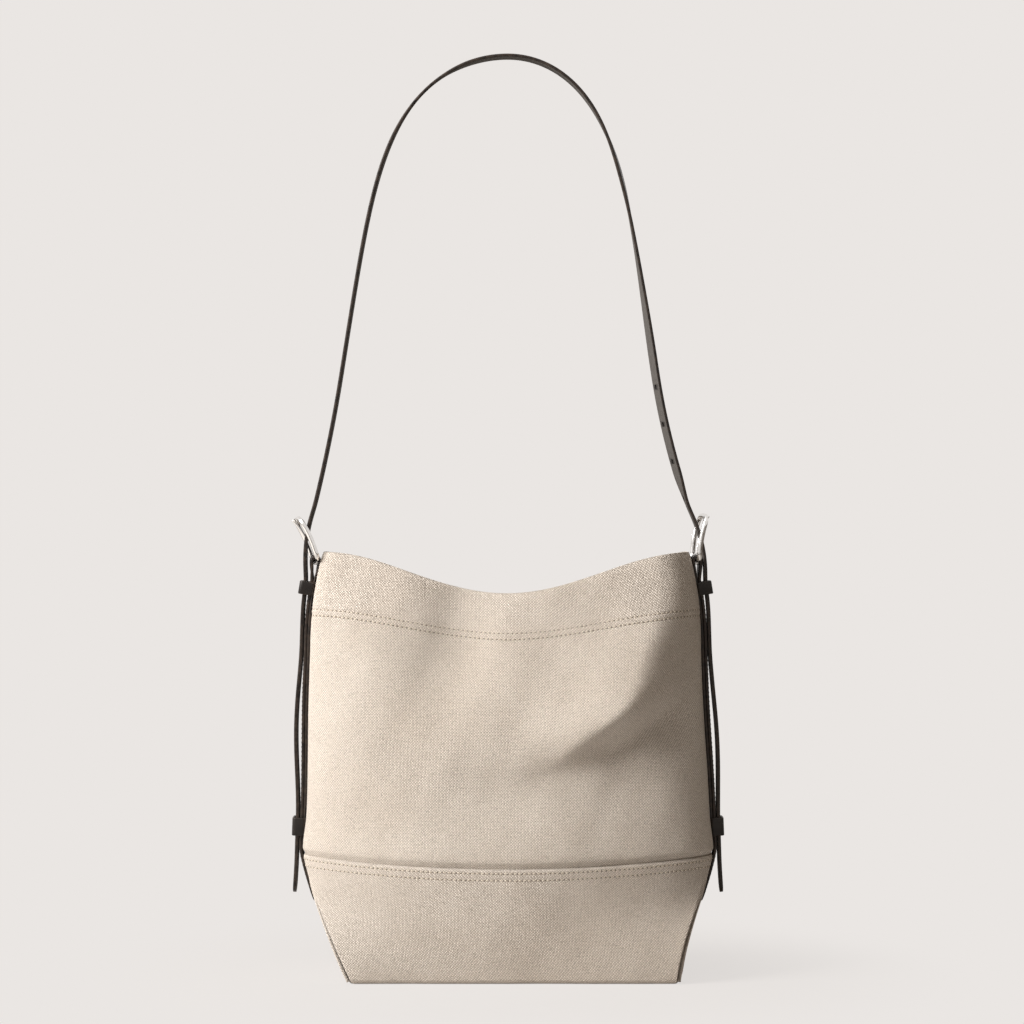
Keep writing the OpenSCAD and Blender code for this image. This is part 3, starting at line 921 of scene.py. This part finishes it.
def gusset(side):
    top = GUSSET_TOP - 6 * MM
    columns, cut_columns = [], []
    for t in np.linspace(-1, 1, 41):
        face = FRONT if t < 0 else BACK
        column, cut_column = [], []
        for z in np.linspace(0.2 * MM, top, 40):
            u = side * mix(corner_share(z) + SEAM_SHARE, 1, 1 - abs(t))
            cut_column.append(plain(u, z, face, BAND_GAP + CANVAS_T))
            off = BAND_GAP + CANVAS_T + foot_turn(z)
            column.append((skin(u, z, face, off), normal(u, z, face)))
        columns.append(column)
        cut_columns.append(cut_column)
    piece = cloth(f"{SIDE_NAME[side]}_gusset", columns, CANVAS_T)
    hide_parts(f"{SIDE_NAME[side]}_base_gusset")


def seam_welt(side, face):
    """The rolled seam that joins a band to a gusset."""
    heights = np.linspace(1.5 * MM, GUSSET_TOP - 3 * MM, 60)
    radius, sides = 1.1 * MM, 10
    path = []
    sections = []
    for z in heights:
        path.append(skin(side * (corner_share(z) + 2 * SEAM_SHARE), z, face, 2 * radius))
        taper = smooth((z - GUSSET_TOP + 16 * MM) / (13 * MM))
        sections.append(circle(radius * (1 - 0.7 * taper), sides))
    uvs = [[(k / sides * 2 * math.pi * radius, z) for k in range(sides)] for z in heights]
    rub = np.full((len(heights), sides), 0.6)
    obj = loft(f"{FACE_NAME[face]}_{SIDE_NAME[side]}_welt", sweep(path, sections), uvs=uvs, wear=rub)
    dress(obj, CANVAS)
    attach(obj, "bag")


def base_panel():
    """The flat canvas underside, with its edge rolled up a little."""
    us = np.linspace(-1, 1, 60)
    round_foot = [(u, FRONT) for u in us] + [(u, BACK) for u in us[-2:0:-1]]
    # Height of each loop, and how far in it lies
    edge = (
        (1.9 * MM, 0.3 * MM),
        (1.2 * MM, 0.0),
        (0.5 * MM, 0.2 * MM),
        (0.05 * MM, 1.2 * MM),
        (0.0, 3 * MM),
    )
    loops = []
    for z, inset in edge:
        ring = [skin(u, 0, face, -inset) for u, face in round_foot]
        loops.append([(p[0], p[1], z) for p in ring])
    uvs = [[(p[0], p[1]) for p in ring] for ring in loops]
    piece = loft("canvas_underside", loops, uvs=uvs)
    dress(piece, CANVAS)
    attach(piece, "bag")
    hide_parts("base_panel")


def pocket():
    us = np.linspace(-POCKET_REACH, POCKET_REACH, 41)
    feet, tops = [POCKET_FOOT_Z] * len(us), [POCKET_TOP_Z] * len(us)
    piece = inner_sheet("slip_pocket", BACK, us, feet, tops, 26, POCKET_T)
    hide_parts("inner_pocket")


def canvas_stitching(face):
    """Two rows along the hem and two along the band's folded edge."""
    stitches, holes = [], []
    for row in (0, 1):
        us = np.linspace(-0.93, 0.93, 240)
        path = [skin(u, hem_z(u, row), face, -0.1 * MM) for u in us]
        thread_row(path, [normal(u, hem_z(u, row), face) for u in us], stitches, holes)
    for down in BAND_ROWS:
        ts = np.linspace(-0.985, 0.985, 240)
        path, out = [], []
        for t in ts:
            z = band_z(t) - down
            u = t * (corner_share(z) - SEAM_SHARE)
            path.append(skin(u, z, face, BAND_GAP + BAND_T - 0.2 * MM))
            out.append(normal(u, z, face))
        thread_row(path, out, stitches, holes)
    sew(f"{FACE_NAME[face]}_stitching", stitches, THREAD)
    shade_needle_holes(f"{FACE_NAME[face]}_needle_hole_shades", holes)


def snap(face):
    """A pressed steel cap with a rolled rim."""
    z = BODY_H - MOUTH_DIP - 19 * MM
    centre = skin(0, z, face, -2 * CANVAS_T - 0.1 * MM)
    slope = unit(skin(0, z + 4 * MM, face) - skin(0, z - 4 * MM, face))
    inward = -face * unit(np.cross(slope, X_AXIS))
    up = np.cross(inward, X_AXIS)
    # Radius and height in millimetres
    rim = ((9.0, 0), (9.2, 0.6), (8.6, 1.2), (7.6, 1.3))
    crown = ((6.8, 0.9), (5.4, 0.9), (4.6, 1.9), (3.0, 2.4), (0.6, 2.5))
    loops = []
    for radius, height in rim + crown:
        middle = centre + inward * height * MM
        loops.append([middle + X_AXIS * a + up * b for a, b in circle(radius * MM, 40)])
    piece = loft(f"{FACE_NAME[face]}_snap_cap", loops)
    dress(piece, STEEL)
    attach(piece, "bag")
    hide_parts(f"{FACE_NAME[face]}_snap")


# ---- leather


def ribbon_sections(path, width, thickness, edge):
    """A rounded strip's section at each point of a path, narrowed to a half round at both ends."""
    along = lengths_along(path)
    sections = []
    for place in along:
        half = width / 2
        left = min(place, along[-1] - place)
        if left < half:
            half = max(math.sqrt(half ** 2 - (half - left) ** 2), edge)
        sections.append(round_rect(half, thickness / 2, edge))
    return sections


def leather_ribbon(name, path, width, thickness, edge=0.9 * MM, flesh_side=0, turn=None):
    """A strip of leather with round ends. flesh_side is 1 or -1 for the suede face, or 0 for neither."""
    sections = ribbon_sections(path, width, thickness, edge)
    rub = []
    for section in sections:
        reach = max(abs(a) for a, _ in section)
        rub.append([1.0 if abs(a) > reach - edge * 0.8 else 0.0 for a, _ in section])
    flesh = [[1.0 if flesh_side * b > thickness * 0.42 else 0.0 for _, b in section] for section in sections]
    obj = loft(name, sweep(path, sections, turn=turn), wear=rub, flesh=flesh)
    return dress(obj, LEATHER)


def bezier(a, b, c, d, t):
    return (1 - t) ** 3 * a + 3 * (1 - t) ** 2 * t * b + 3 * (1 - t) * t ** 2 * c + t ** 3 * d


def strap_half(side):
    """One half of the strap's route, from its tail's end up to the crown."""
    tail = [(tail_line(z, side), z) for z in np.linspace(TAIL_FOOT, LEAD_Z, 110)]
    a, d = np.array(tail[-1]), np.array([arch_line(0, side), PIVOT_Z])
    slope = (ARCH_DRAW[side] + 2 * ARCH_FLARE[side] / FLARE_SHARE) / (STRAP_TOP - PIVOT_Z)
    b, c = a + np.array([1, 16]) * MM, d + 26 * MM * np.array([1.5 * slope, -1])
    lead = [bezier(a, b, c, d, i / 24) for i in range(1, 25)]
    arch = [(arch_line(h, side), arch_z(h)) for h in 1 - (1 - np.linspace(0, 1, 200)[1:-1]) ** 2.2]
    route = np.array(tail + [tuple(p) for p in lead] + arch)
    return np.column_stack([side * route[:, 0], np.zeros(len(route)), route[:, 1]])


def punch(start, end, radius):
    """A cylinder that is not upright."""
    return loft("pin", sweep([start, end], [circle(radius, 24)] * 2, across=Z_AXIS))


def box_along(centre, way, half_out, half_y, half_l):
    """A box whose length lies along way, in the plane y = 0."""
    out = outward(way, RIGHT)
    corners = ((1, 1), (-1, 1), (-1, -1), (1, -1))
    loops = []
    for s in (-1, 1):
        end = centre + way * s * half_l
        loops.append([end + out * a * half_out + Y_AXIS * b * half_y for a, b in corners])
    return loft("slot", loops)


def prong_way(side, extra=0.0):
    """The way a prong points at rest, leaning out by an extra angle."""
    lean = prong_lean(side) + extra
    return np.array([side * math.sin(lean), 0, math.cos(lean)])


def shoulder_strap():
    """The strap and both its tails as one strip, with its holes and the prongs' slots."""
    route = np.concatenate([strap_half(LEFT), [[0, 0, STRAP_TOP - STRAP_T / 2]], strap_half(RIGHT)[::-1]])
    path = relax(resample(route, 2 * MM), 12)
    crown = len(path) // 2
    turn = []
    for i, p in enumerate(path):
        side = RIGHT if i > crown else LEFT
        h = (p[2] - PIVOT_Z) / (STRAP_TOP - PIVOT_Z)
        if side == RIGHT:
            degrees = -13 * smooth(h / 0.08) * smooth((0.62 - h) / 0.3) + 8 * bell(h - 0.74, 0.1)
        else:
            degrees = 7 * bell(h - 0.93, 0.09) * smooth((0.998 - h) / 0.05)
        turn.append(math.radians(degrees))
    strap = leather_ribbon("strap", path, STRAP_W, STRAP_LEATHER_T, flesh_side=-1, turn=turn)
    cutters = []
    for side in (LEFT, RIGHT):
        for i in range(HOLE_COUNT):
            z = FIRST_HOLE_Z + i * HOLE_PITCH
            here = min((p for p in path if p[0] * side > 0), key=lambda p: abs(p[2] - z))
            reach = np.array([6 * MM, 0, 1.2 * MM * side])
            cutters.append(punch(here - reach, here + reach, HOLE_R))
        way = prong_way(side, math.radians(1))
        slot = heel(side) + way * 20 * MM - outward(way, side) * PRONG_BOW
        cutters.append(box_along(slot, way, 3.2 * MM, PRONG_R + 0.5 * MM, 9 * MM))
    cut(strap, cutters)
    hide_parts("shoulder_strap", "left_strap_tail", "right_strap_tail")
    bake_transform(strap)


def keeper_frame(z, side):
    """Where a keeper stands on its strip: its place, and the way it slides."""
    rise = canvas_side(z + 8 * MM, side) - canvas_side(z - 8 * MM, side)
    way = unit(np.array([side * rise, 0, 16 * MM]))
    return np.array([side * (canvas_side(z, side) + SIDE_GAP), 0, z]), way


def side_strip(side):
    """One strip folded in two: up the outside, round the heel bar and down the inside."""
    layer = STRIP_T / 2 - 0.1 * MM
    bar = heel(side)
    radius = WIRE_R + BORE_GAP + layer / 2
    inner_foot = BAND_H + BAND_RISE + 3 * MM
    outer = [(strip_side(z, side) - layer / 2, z) for z in np.linspace(STRIP_FOOT, FORK_Z, 130)]
    inner = [(canvas_side(z, side) + SIDE_GAP + layer / 2, z) for z in np.linspace(FORK_Z, inner_foot, 100)]
    turns = np.radians(np.linspace(-12, 192, 40))
    wrap = [(side * bar[0] + radius * math.cos(a), HEEL_Z + radius * math.sin(a)) for a in turns]
    route = np.array(outer + wrap + inner)
    route = np.column_stack([side * route[:, 0], np.zeros(len(route)), route[:, 1]])
    path = relax(resample(route, 1.2 * MM), 4)
    strip = leather_ribbon(f"{SIDE_NAME[side]}_strip", path, STRAP_W, layer, edge=0.8 * MM)
    eye_slot = bar + Z_AXIS * 6 * MM
    cutters = [box_along(eye_slot, Z_AXIS, 12 * MM, PRONG_W / 2 + 0.4 * MM, 10.5 * MM)]
    upper = (UPPER_KEEPER_Z, UPPER_KEEPER_H, TRAVEL_UP)
    lower = (LOWER_KEEPER_Z, LOWER_KEEPER_H, KEEPER_TRAVEL)
    for z, height, up in (upper, lower):
        place, way = keeper_frame(z, side)
        half_x, half_l = 4 * MM, (height + KEEPER_TRAVEL + up) / 2 + 1 * MM
        middle = place + outward(way, side) * (RECESS_D - half_x) + way * (up - KEEPER_TRAVEL) / 2
        cutters.append(box_along(middle, way, half_x, STRAP_W, half_l))
    cut(strip, cutters)
    # The loop turns with its ring
    for vertex in strip.data.vertices:
        turn = FRAME_TURN[side] / 2 * smooth((vertex.co.z - FORK_Z) / (12 * MM))
        dx, y = vertex.co.x - bar[0], vertex.co.y
        vertex.co.x = bar[0] + dx * math.cos(turn) - y * math.sin(turn)
        vertex.co.y = y * math.cos(turn) + dx * math.sin(turn)
    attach(strip, "bag")
    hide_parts(f"{SIDE_NAME[side]}_side_strip")
    stitches = []
    heights = np.linspace(STRIP_FOOT + 6 * MM, FORK_Z - 4 * MM, 120)
    for y in (-STRIP_STITCH_Y, STRIP_STITCH_Y):
        row = [np.array([side * (strip_side(z, side) - 0.05 * MM), y, z]) for z in heights]
        thread_row(row, [side * X_AXIS] * len(row), stitches)
    sew(f"{SIDE_NAME[side]}_strip_stitching", stitches, DARK_THREAD, radius=0.36 * MM)


def keeper(which, z, height, room, side):
    """A loop of leather round the strip and the tail."""
    place, way = keeper_frame(z, side)
    out = outward(way, side)
    corner_r = 1.6 * MM
    back_x = RECESS_D - 0.1 * MM - KEEPER_BACK_T / 2
    front_x = STRIP_T + room + STRAP_T + KEEPER_ROOM[which] + KEEPER_T / 2
    half_x, half_y = (front_x - back_x) / 2, STRAP_W / 2 + 0.3 * MM + KEEPER_T / 2
    centre = place + out * (back_x + front_x) / 2
    ring = resample(round_rect(half_x, half_y, corner_r, 6) + [(half_x, half_y - corner_r)], 0.8 * MM)[:-1]
    path, sections = [], []
    for x, y in ring:
        bulge = 0.35 * MM * max(x, 0) / half_x * math.cos(min(abs(y) / half_y, 1) * math.pi / 2)
        path.append(centre + out * (x + bulge) + Y_AXIS * y)
        thick = mix(KEEPER_BACK_T, KEEPER_T, smooth((x + half_x - 0.1 * MM) / (2 * MM)))
        sections.append(round_rect(height / 2, thick / 2 - 0.02 * MM, 0.75 * MM))
    rub = [[1.0 if abs(a) > height / 2 - 0.6 * MM else 0.1 for a, _ in section] for section in sections]
    loops = sweep(path, sections, across=way, closed=True)
    obj = loft(f"{SIDE_NAME[side]}_{which}_loop", loops, ring=True, wear=rub)
    dress(obj, LEATHER)
    body = {"upper": "top", "lower": "foot"}[which]
    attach(obj, f"{SIDE_NAME[side]}_{body}_keeper")
    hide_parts(f"{SIDE_NAME[side]}_{which}_keeper")


# ---- buckles


def buckle_frame(side):
    """One ring of round wire, a little bowed, leaning out from the heel bar."""
    heel_r, end_r, bow = 5 * MM, 9 * MM, 1.5 * MM
    half = FRAME_W / 2
    # Each corner's side, centre height, radius and start angle
    corners = (
        (1, heel_r, heel_r, -90),
        (1, FRAME_L - end_r, end_r, 0),
        (-1, FRAME_L - end_r, end_r, 90),
        (-1, heel_r, heel_r, 180),
    )
    bends = []
    for y_side, z_mid, radius, start in corners:
        for a in np.radians(np.linspace(start, start + 90, 14)):
            y = y_side * (half - radius) + radius * math.cos(a)
            bends.append((y, z_mid + radius * math.sin(a)))
    ring = resample(np.array(bends + bends[:1]), 1.2 * MM)[:-1]
    lean, bar = FRAME_LEAN[side], heel(side)
    up = np.array([side * math.sin(lean), 0, math.cos(lean)])
    inward = -outward(up, side)
    wide = Y_AXIS * math.cos(FRAME_TURN[side]) + side * inward * math.sin(FRAME_TURN[side])
    path = []
    for y, z in ring:
        share = min(max(z / FRAME_L, 0), 1)
        path.append(bar + wide * y + up * z + inward * bow * math.sin(math.pi * share))
    loops = sweep(path, [circle(WIRE_R, 18)] * len(path), across=inward, closed=True)
    obj = loft(f"{SIDE_NAME[side]}_buckle_ring", loops, ring=True)
    dress(obj, STEEL)
    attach(obj, f"{SIDE_NAME[side]}_frame")
    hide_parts(f"{SIDE_NAME[side]}_buckle_frame")


def buckle_prong(side):
    """A flat eye round the heel bar, and a round shank that bows inwards to its tip."""
    bar, way = heel(side), prong_way(side)
    out = outward(way, side)
    eye_t = 1.8 * MM
    eye_r = WIRE_R + BORE_GAP + eye_t / 2
    eye_path = np.array([bar + way * a + out * b for a, b in circle(eye_r, 40)])
    section = round_rect(PRONG_W / 2, eye_t / 2 - 0.02 * MM, 0.6 * MM)
    eye = loft("eye", sweep(eye_path, [section] * 40, closed=True), ring=True)
    lengths = np.linspace(WIRE_R + BORE_GAP + 0.4 * MM, PRONG_L, 40)
    path, sections = [], []
    for s in lengths:
        path.append(bar + way * s - out * PRONG_BOW * math.sin(math.pi * (s / PRONG_L) ** 1.2))
        fat = mix(1.5 * MM, PRONG_R * 0.85, smooth(s / (0.5 * PRONG_L)))
        tip = min((PRONG_L - s) / (1.2 * MM), 1)
        sections.append(circle(max(fat * math.sqrt(max(tip * (2 - tip), 0)), 0.1 * MM), 14))
    shank = loft("shank", sweep(path, sections))
    obj = join(f"{SIDE_NAME[side]}_buckle_tongue", [eye, shank])
    dress(obj, STEEL)
    obj.data.polygons.foreach_set("use_smooth", [True] * len(obj.data.polygons))
    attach(obj, f"{SIDE_NAME[side]}_prong")
    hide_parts(f"{SIDE_NAME[side]}_buckle_prong")


# ---- build

for face in (FRONT, BACK):
    upper_panel(face)
    facing(face)
    base_band(face)
    canvas_stitching(face)
    snap(face)
for side in (LEFT, RIGHT):
    gusset(side)
    for face in (FRONT, BACK):
        seam_welt(side, face)
    side_strip(side)
    keeper("upper", UPPER_KEEPER_Z, UPPER_KEEPER_H, TAIL_GAP_TOP, side)
    keeper("lower", LOWER_KEEPER_Z, LOWER_KEEPER_H, TAIL_GAP, side)
    buckle_frame(side)
    buckle_prong(side)
base_panel()
pocket()
shoulder_strap()

board = frame["nodes"]["base_board"]
board.data.materials.clear()
board.data.materials.append(BOARD)

# ---- studio

PAPER = rgb(0.823, 0.791, 0.768)


def studio_floor():
    """A plain pale floor that meets the backdrop without a line."""
    bpy.ops.mesh.primitive_plane_add(size=60, location=(0, 0, -0.2 * MM))
    floor = bpy.context.object
    floor.name = "floor"
    material, n = new_material("floor_paper")
    seen = n.put("ShaderNodeLightPath").outputs["Is Camera Ray"]
    place = n.solid()
    away = n.put("ShaderNodeVectorMath", {0: place}, operation="LENGTH").outputs["Value"]
    grain = n.noise(place, 40.0, 3.0)
    colour = n.blend(grain, rgb(0.58, 0.56, 0.54), rgb(0.62, 0.6, 0.58))
    paper = n.put("ShaderNodeBsdfDiffuse", {"Color": colour})
    glow = n.put("ShaderNodeEmission", {"Color": PAPER, "Strength": 1.0})
    share = n.times(seen, n.between(away, 0.15, 0.4, 0.86, 1.0))
    both = n.put("ShaderNodeMixShader", {0: share, 1: paper.outputs[0], 2: glow.outputs[0]})
    n.put("ShaderNodeOutputMaterial", {"Surface": both.outputs[0]})
    floor.data.materials.append(material)


def studio_world():
    """Bright paper for the camera and for reflections, and a dimmer fill for the cloth."""
    world = bpy.data.worlds.new("studio")
    bpy.context.scene.world = world
    world.use_nodes = True
    n = Nodes(world.node_tree)
    soft = n.put("ShaderNodeLightPath").outputs["Is Diffuse Ray"]
    bright = n.put("ShaderNodeBackground", {"Color": PAPER, "Strength": 1.0})
    dim = n.put("ShaderNodeBackground", {"Color": rgb(1.0, 0.74, 0.5), "Strength": 0.11})
    both = n.put("ShaderNodeMixShader", {0: soft, 1: bright.outputs[0], 2: dim.outputs[0]})
    n.put("ShaderNodeOutputWorld", {"Surface": both.outputs[0]})


def area_light(name, azimuth, elevation, distance, size, power, colour):
    """A soft square lamp aimed at the middle of the bag. Azimuth 0 is in front, and -90 is to the left."""
    a, e = math.radians(azimuth), math.radians(elevation)
    target = Vector((0, 0, BODY_H / 2))
    way = Vector((math.sin(a) * math.cos(e), -math.cos(a) * math.cos(e), math.sin(e)))
    data = bpy.data.lights.new(name, "AREA")
    data.energy, data.size, data.color = power, size, colour
    lamp = add_object(name, data)
    lamp.location = target + way * distance
    lamp.rotation_euler = (-way).to_track_quat("-Z", "Y").to_euler()


def camera():
    """Level with the middle of the bag and its strap, square to the front."""
    view_w = 855 * MM
    middle_x, middle_z = 3.3 * MM, 384 * MM
    distance = 2.5
    data = bpy.data.cameras.new("camera")
    data.sensor_width = 36
    data.lens = data.sensor_width * distance / view_w
    cam = add_object("camera", data)
    cam.location = (middle_x, -distance, middle_z)
    cam.rotation_euler = (math.pi / 2, 0, 0)
    bpy.context.scene.camera = cam


studio_floor()
studio_world()
area_light("key", azimuth=-65, elevation=34, distance=2.4, size=1.15, power=99, colour=(1, 0.975, 0.95))
area_light("top", azimuth=-20, elevation=75, distance=2.2, size=1.2, power=8, colour=(1, 0.985, 0.96))
camera()
bpy.context.scene.view_settings.view_transform = "Standard"
